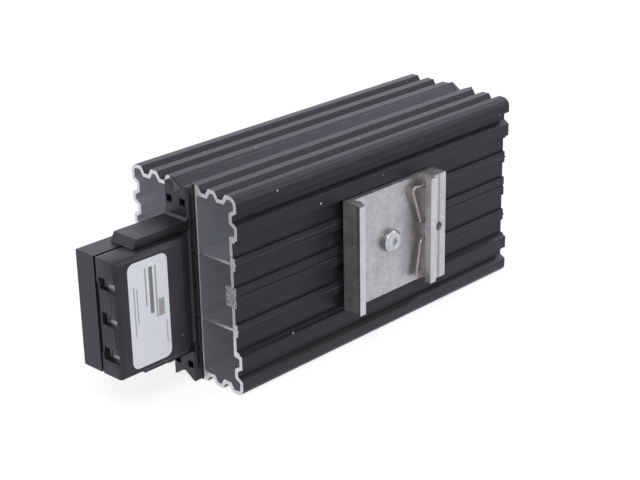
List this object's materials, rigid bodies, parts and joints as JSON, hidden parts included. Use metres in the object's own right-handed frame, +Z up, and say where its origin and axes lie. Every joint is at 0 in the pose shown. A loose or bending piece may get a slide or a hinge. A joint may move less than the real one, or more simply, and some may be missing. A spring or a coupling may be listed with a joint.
{
  "type": "enclosure heater",
  "caption": "Rail-mounted enclosure heater: a ridged black aluminium profile with air channels round a closed heating chamber, a terminal head on one end and a sprung rail clip.",
  "frame": {"origin": "under the middle of the whole part, on the surface it lies on", "axes": "+X along the profile from the terminal head to the rear cap, -Y towards the rail clip, +Z up"},
  "size_m": [0.1796, 0.0584, 0.07],
  "materials": {
    "anodised": "black anodised, satin, bare at the sawn ends",
    "black_plastic": "fine moulded grain",
    "bare_aluminium": "plain extruded",
    "steel": "plated",
    "spring_steel": "drawn wire and strip",
    "label": "coated, satin",
    "tablet": "fired, with printed metal faces",
    "film": "amber film",
    "wire": "smooth insulation",
    "earth_wire": "smooth insulation",
    "brass": "stamped"
  },
  "bodies": {
    "root": {"heat_profile": "anodised", "head_base": "black_plastic", "head_far_shell": "black_plastic", "head_near_shell": "black_plastic", "rear_cap": "black_plastic", "din_clip": "bare_aluminium", "contact_near": "bare_aluminium", "contact_far": "bare_aluminium", "clamp_top": "steel", "clamp_middle": "steel", "clamp_bottom": "steel", "clip_screw": "steel", "spring_top": "spring_steel", "spring_middle": "spring_steel", "spring_bottom": "spring_steel", "clip_spring_upper": "spring_steel", "clip_spring_lower": "spring_steel", "type_label": "label", "ptc_1": "tablet", "ptc_2": "tablet", "ptc_3": "tablet", "ptc_4": "tablet", "film_near": "film", "film_far": "film", "lead_live": "wire", "lead_neutral": "wire", "lead_earth": "earth_wire", "earth_tab": "brass"}
  },
  "joints": []
}
